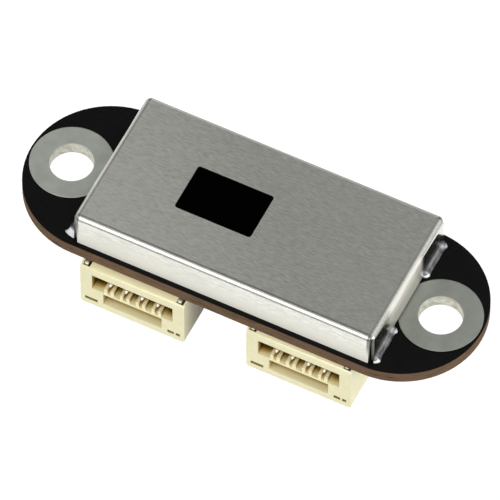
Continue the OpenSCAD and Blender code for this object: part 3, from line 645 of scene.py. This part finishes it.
# The painted shade is deepest in the pockets at both ends of an opening
pocket = add(tree, "MapRange", Value=sideways, From_Min=2.35, From_Max=2.6, To_Max=0.13)
depth = add(tree, "Math", {"operation": "ADD"}, in0=depth, in1=pocket)
painted_depth_shade = add(tree, "ValToRGB", {"stops": [
    (0.0, "#FDF3C6"), (0.36, "#FAE8AE"), (0.55, "#D0AE58"), (0.72, "#88661C"), (0.95, "#362804"),
]}, Fac=depth)
mottle = add(tree, "TexNoise", Vector=mm, Scale=1.6, Detail=4.0, Roughness=0.6)
cream = add(tree, "ValToRGB", {"stops": [(0.3, "#F3EBBF"), (0.7, "#F9F4CC")]}, Fac=mottle)
tone = add(tree, "Mix", {"data_type": "RGBA"}, in0=inside, in6=cream, in7=painted_depth_shade)
# Painted shade on the end wall between the two headers, darker towards the back
at = add(tree, "SeparateXYZ", Vector=add(tree, "NewGeometry").outputs["Position"])
of_left = add(tree, "Math", {"operation": "LESS_THAN"}, in0=at.outputs["X"], in1=0.0)
rearward = add(tree, "MapRange", Value=part.outputs["Y"], From_Min=0.2, From_Max=2.4,
               To_Min=0.2, To_Max=0.95)
painted_gap_shade = add(tree, "MapRange", Value=turned.outputs["X"], From_Min=0.3, From_Max=0.9)
painted_gap_shade = add(tree, "Math", {"operation": "MULTIPLY"}, in0=painted_gap_shade, in1=of_left)
painted_gap_shade = add(tree, "Math", {"operation": "MULTIPLY"}, in0=painted_gap_shade, in1=rearward)
tone = add(tree, "Mix", {"data_type": "RGBA"}, in0=painted_gap_shade, in6=tone, in7="#5E4A14")
# Painted shade also on the upper side, close under the board
upward = add(tree, "MapRange", Value=turned.outputs["Z"], From_Min=0.5, From_Max=0.9,
             To_Max=0.55)
outside = add(tree, "Math", {"operation": "SUBTRACT"}, in0=1.0, in1=inside)
near_board = add(tree, "MapRange", Value=part.outputs["Y"], From_Min=0.1, From_Max=0.9)
dim = add(tree, "Math", {"operation": "MULTIPLY"}, in0=upward, in1=outside)
dim = add(tree, "Math", {"operation": "MULTIPLY"}, in0=dim, in1=near_board)
tone = add(tree, "Mix", {"data_type": "RGBA"}, in0=dim, in6=tone, in7="#C4BA8A")
# Painted shade in the narrow slits, nearly as dark as the back of the openings
beside = add(tree, "Math", {"operation": "COMPARE"}, in0=sideways, in1=SLIT_X, in2=0.6)
low_down = add(tree, "Math", {"operation": "COMPARE"}, in0=part.outputs["Z"], in1=SLIT_Z,
               in2=0.24)
shallow = add(tree, "Math", {"operation": "COMPARE"}, in0=part.outputs["Y"], in1=0.4, in2=0.38)
in_slit = add(tree, "Math", {"operation": "MULTIPLY"}, in0=beside, in1=low_down)
in_slit = add(tree, "Math", {"operation": "MULTIPLY"}, in0=in_slit, in1=shallow)
painted_slit_shade = add(tree, "ValToRGB", {"stops": [(0.0, "#A8965E"), (0.4, "#705C2A")]}, Fac=shaded)
tone = add(tree, "Mix", {"data_type": "RGBA"}, in0=in_slit, in6=tone, in7=painted_slit_shade)
spark = add(tree, "TexNoise", Vector=mm, Scale=16.0, Detail=3.0)
finish(tree, bump=(spark, 0.012), Base_Color=tone, Roughness=0.42, Specular_IOR_Level=0.4,
       Subsurface_Weight=0.15, Subsurface_Radius=(0.9, 0.7, 0.35), Subsurface_Scale=0.4 * MM)


def top_front(start, end):
    """The long edge between the mating face and the board."""
    return max(start.y, end.y) < NEAR and min(start.z, end.z) > -NEAR


def outline(start, end):
    """Edges at the housing's sides and underside."""
    return all(abs(point.x) > SIDE_X or point.z < UNDERSIDE_Z for point in (start, end))


MOULD_ROUNDING = [(0.2, top_front), (0.18, outline), (0.02, everywhere)]
SLIT_NEAR, SLIT_INNER_X, SLIT_DEEP, SLIT_GROWTH = 0.18, 2.6, 0.75, 1.15
for side in HOUSINGS:
    low, high = (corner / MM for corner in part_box(f"{side}_header_housing"))
    mesh = eased_copy(f"{side}_header_housing", f"{side}_moulded_housing", "cream_nylon", nylon,
                      MOULD_ROUNDING, datum=((low.x + high.x) / 2, low.y, high.z))
    # The slits are a little taller than the plain model has them
    for vert in mesh.vertices:
        place = vert.co / MM
        of_slit = abs(place.z - SLIT_Z) < SLIT_NEAR and abs(place.x) > SLIT_INNER_X
        if of_slit and place.y < SLIT_DEEP:
            vert.co.z = (SLIT_Z + SLIT_GROWTH * (place.z - SLIT_Z)) * MM

# ---- Contacts and solder tabs ----
# Square brass wire with a rounded point, and stamped brass tabs, both under bright tin plate.
# They are pressed into the housing before it is soldered to the board.
plate_look, tree, mm = material_in_mm("tin-plated brass")
drawn = add(tree, "VectorMath", {"operation": "MULTIPLY"}, in0=mm, in1=(12.0, 1.2, 12.0))
lines = add(tree, "TexNoise", Vector=drawn, Scale=1.0, Detail=2.0)
tone = add(tree, "ValToRGB", {"stops": [(0.3, "#CBC7B6"), (0.7, "#E6E3D6")]}, Fac=lines)
rough = add(tree, "MapRange", Value=lines, To_Min=0.34, To_Max=0.46)
finish(tree, bump=(lines, 0.004), Base_Color=tone, Metallic=1.0, Roughness=rough)


def arc(centre_y, centre_z, radius, start, stop):
    """Points of a bend in the wire, with the way it heads at each."""
    for step in range(7):
        turn = math.radians(start + (stop - start) * step / 6)
        sense = math.copysign(1, stop - start)
        yield (centre_y + radius * math.cos(turn), centre_z + radius * math.sin(turn),
               turn + sense * math.pi / 2)


def wire_section(half, soft):
    """Outline of a square wire with soft corners, as (across, over) from its middle."""
    for corner in range(4):
        diagonal = math.radians(90 * corner + 45)
        for step in range(4):
            around = math.radians(90 * corner + 30 * step)
            yield ((half - soft) * math.copysign(1, math.cos(diagonal)) + soft * math.cos(around),
                   (half - soft) * math.copysign(1, math.sin(diagonal)) + soft * math.sin(around))


# The point is a dome POINT long that leans down by LEAN of half the wire's thickness, and
# ends at TIP of that thickness
WIRE_BEND, WIRE_CORNER, POINT, LEAN, TIP = 0.28, 0.1, 0.44, 0.7, 0.02
BEHIND_HOUSING = 0.12
TAB_EDGE = 0.03
for side in HOUSINGS:
    back_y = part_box(f"{side}_header_housing")[1].y / MM
    for way in range(1, 5):
        low, high = (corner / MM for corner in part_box(f"{side}_header_pin_{way}"))
        half = (high.x - low.x) / 2
        wire_x, wire_z, foot_z = low.x + half, low.z + half, high.z - half
        rise_y = back_y + BEHIND_HOUSING + half
        path = [
            (low.y + POINT * (1 - math.cos(a)), wire_z - LEAN * half * (1 - math.sin(a)), 0,
             max(TIP, math.sin(a)))
            for a in (math.radians(10 * step) for step in range(10))
        ]
        # Behind the point come the straight, two bends and the foot
        path += [(y, z, heading, 1) for y, z, heading in (
            *arc(rise_y - WIRE_BEND, wire_z + WIRE_BEND, WIRE_BEND, -90, 0),
            *arc(rise_y + WIRE_BEND, foot_z - WIRE_BEND, WIRE_BEND, 180, 90),
            (high.y, foot_z, 0),
        )]
        rings = [
            [(wire_x + scale * across, y - scale * over * math.sin(heading),
              z + scale * over * math.cos(heading)) for across, over in wire_section(half, WIRE_CORNER)]
            for y, z, heading, scale in path
        ]
        install(f"{side}_contact_{way}", skinned(rings), f"{side}_header_pin_{way}", "contact",
                plate_look)
    for end in ("left", "right"):
        eased_copy(f"{side}_header_tab_{end}", f"{side}_tab_{end}", "solder_tab", plate_look,
                   [(TAB_EDGE, everywhere)])

# ---- Light baffle ----
# Silicone rubber, moulded black and matt, in one piece. It stands between the ranging chip and
# the filter, so that no light gets from the laser to the receiver inside the can.
rubber, tree, mm = material_in_mm("moulded black silicone")
dust = add(tree, "TexNoise", Vector=mm, Scale=18.0, Detail=3.0)
tone = add(tree, "ValToRGB", {"stops": [(0.35, "#121213"), (0.75, "#242425")]}, Fac=dust)
rough = add(tree, "MapRange", Value=dust, To_Min=0.7, To_Max=0.9)
finish(tree, bump=(dust, 0.01), Base_Color=tone, Roughness=rough)
dress("light_baffle", rubber)

# ---- Ranging chip ----
# Two dies on a small laminate base, bonded and covered by a black cap with an opening for
# each. The module is soldered to the board as one chip.
base_look, tree, mm = material_in_mm("bismaleimide laminate")
weave = add(tree, "TexWave", {"wave_type": "BANDS"}, Vector=mm, Scale=4.0, Distortion=1.5,
            Detail=2.0).outputs["Fac"]
tone = add(tree, "ValToRGB", {"stops": [(0.2, "#24442C"), (0.8, "#3A5F3E")]}, Fac=weave)
finish(tree, bump=(weave, 0.006), Base_Color=tone, Roughness=0.55)
dress("ranging_chip_base", base_look)

# Liquid crystal polymer, moulded: near black, with short pale flow marks
cap_look, tree, mm = material_in_mm("moulded liquid crystal polymer")
flow = add(tree, "VectorMath", {"operation": "MULTIPLY"}, in0=mm, in1=(3.0, 14.0, 14.0))
marks = add(tree, "TexNoise", Vector=flow, Scale=1.0, Detail=4.0)
tone = add(tree, "ValToRGB", {"stops": [(0.4, "#161617"), (0.8, "#2C2C2D")]}, Fac=marks)
rough = add(tree, "MapRange", Value=marks, To_Min=0.4, To_Max=0.6)
finish(tree, bump=(marks, 0.005), Base_Color=tone, Roughness=rough)
dress("ranging_chip_cap", cap_look)

# Silicon under glass, diced: purple-grey cells of detectors, with mirror-bright metal between
receiver_look, tree, mm = material_in_mm("diced silicon")
detectors = add(tree, "TexBrick", {"offset": 0.0}, Vector=mm, Scale=1.0, Brick_Width=0.1,
                Row_Height=0.1, Mortar_Size=0.012, Color1="#4A3F5C", Color2="#53475F",
                Mortar="#B8A77A")
finish(tree, Base_Color=detectors, Metallic=0.7, Roughness=0.18)
dress("receiver_die", receiver_look)

# Gallium arsenide under gold, diced: gold with a dark dot for each laser
emitter_look, tree, mm = material_in_mm("gold-plated gallium arsenide")
dots = add(tree, "TexVoronoi", Vector=mm, Scale=12.0, Randomness=0.0)
tone = add(tree, "ValToRGB", {"stops": [(0.25, "#2C2620"), (0.35, "#D9B45C")]}, Fac=dots)
finish(tree, bump=(dots, 0.004), Base_Color=tone, Metallic=1.0, Roughness=0.25)
dress("emitter_die", emitter_look)

# ---- Control chips ----
# Microcontroller, bus transceiver and voltage regulator: silicon in epoxy, transfer-moulded
# black and slightly grainy, on leads of copper alloy under matt tin.
compound, tree, mm = material_in_mm("transfer-moulded epoxy")
filler = add(tree, "TexVoronoi", Vector=mm, Scale=22.0)
tone = add(tree, "ValToRGB", {"stops": [(0.0, "#1B1B1D"), (0.8, "#303033")]}, Fac=filler)
rough = add(tree, "MapRange", Value=filler, To_Min=0.5, To_Max=0.7)
finish(tree, bump=(filler, 0.006), Base_Color=tone, Roughness=rough)
for name in ("microcontroller", "transceiver", "voltage_regulator"):
    dress(name, compound)

lead_look, tree, mm = material_in_mm("matt tin-plated copper")
crystals = add(tree, "TexNoise", Vector=mm, Scale=30.0, Detail=3.0)
tone = add(tree, "ValToRGB", {"stops": [(0.3, "#A9AAA8"), (0.7, "#C6C7C4")]}, Fac=crystals)
rough = add(tree, "MapRange", Value=crystals, To_Min=0.4, To_Max=0.6)
finish(tree, bump=(crystals, 0.004), Base_Color=tone, Metallic=1.0, Roughness=rough)
for name in ("microcontroller_terminals", "transceiver_leads", "regulator_leads"):
    dress(name, lead_look)

# ---- Crystal ----
# Quartz in a ceramic tray, closed by a nickel-plated lid that is seam-welded round its rim.
# It is soldered to the board, and keeps the microcontroller's time.
crystal_look, tree, mm = material_in_mm("seam-welded lid on ceramic")
place = add(tree, "SeparateXYZ", Vector=add(tree, "TexCoord").outputs["Generated"])
lidded = add(tree, "Math", {"operation": "GREATER_THAN"}, in0=place.outputs["Z"], in1=0.8)
weld = add(tree, "TexNoise", Vector=mm, Scale=9.0, Detail=3.0)
ceramic = add(tree, "ValToRGB", {"stops": [(0.3, "#3B3632"), (0.7, "#4A443F")]}, Fac=weld)
nickel = add(tree, "ValToRGB", {"stops": [(0.3, "#B9B5A6"), (0.7, "#CFCBBD")]}, Fac=weld)
tone = add(tree, "Mix", {"data_type": "RGBA"}, in0=lidded, in6=ceramic, in7=nickel)
rough = add(tree, "MapRange", Value=weld, To_Min=0.3, To_Max=0.5)
finish(tree, bump=(weld, 0.01), Base_Color=tone, Metallic=lidded, Roughness=rough)
dress("crystal", crystal_look)

# ---- Inductor ----
# Copper coil inside pressed iron powder, which is dark grey with a fine metal sparkle. It is
# soldered to the board, and smooths the supply.
powder_look, tree, mm = material_in_mm("pressed iron powder")
grains = add(tree, "TexVoronoi", Vector=mm, Scale=18.0)
tone = add(tree, "ValToRGB", {"stops": [(0.0, "#6E6D6A"), (0.25, "#3A3A3B"), (0.8, "#2A2A2B")]},
           Fac=grains)
finish(tree, bump=(grains, 0.02), Base_Color=tone, Metallic=0.3, Roughness=0.6)
dress("inductor", powder_look)


# ---- Chip capacitors and resistors ----
# Small fired ceramic blocks: the capacitors that steady the supply and the resistors of the
# data lines. Their ends are dipped in metal and tinned, 0.2 of the length each.
def chip_look(name, low, high, shine):
    """Material of a ceramic chip with tinned ends; low and high are its body's two tones."""
    material, tree, mm = material_in_mm(name)
    place = add(tree, "SeparateXYZ", Vector=add(tree, "TexCoord").outputs["Generated"])
    off_middle = add(tree, "Math", {"operation": "SUBTRACT"}, in0=place.outputs["X"], in1=0.5)
    off_middle = add(tree, "Math", {"operation": "ABSOLUTE"}, in0=off_middle)
    tinned = add(tree, "Math", {"operation": "GREATER_THAN"}, in0=off_middle, in1=0.3)
    speckle = add(tree, "TexNoise", Vector=mm, Scale=14.0, Detail=3.0)
    body = add(tree, "ValToRGB", {"stops": [(0.3, low), (0.7, high)]}, Fac=speckle)
    tin = add(tree, "ValToRGB", {"stops": [(0.3, "#B4B5B2"), (0.7, "#CDCECB")]}, Fac=speckle)
    tone = add(tree, "Mix", {"data_type": "RGBA"}, in0=tinned, in6=body, in7=tin)
    rough = add(tree, "MapRange", Value=speckle, To_Min=shine, To_Max=shine + 0.2)
    finish(tree, bump=(speckle, 0.006), Base_Color=tone, Metallic=tinned, Roughness=rough)
    return material


# Barium titanate, sintered: tan and slightly glossy
titanate = chip_look("sintered barium titanate", "#8C7048", "#A58659", 0.3)
for name in ("capacitor_supply", "capacitor_output", "capacitor_chip"):
    dress(name, titanate)
# Alumina under a fired black glaze
glaze = chip_look("glazed alumina", "#141416", "#222225", 0.2)
for name in ("resistor_data", "resistor_clock", "resistor_termination"):
    dress(name, glaze)
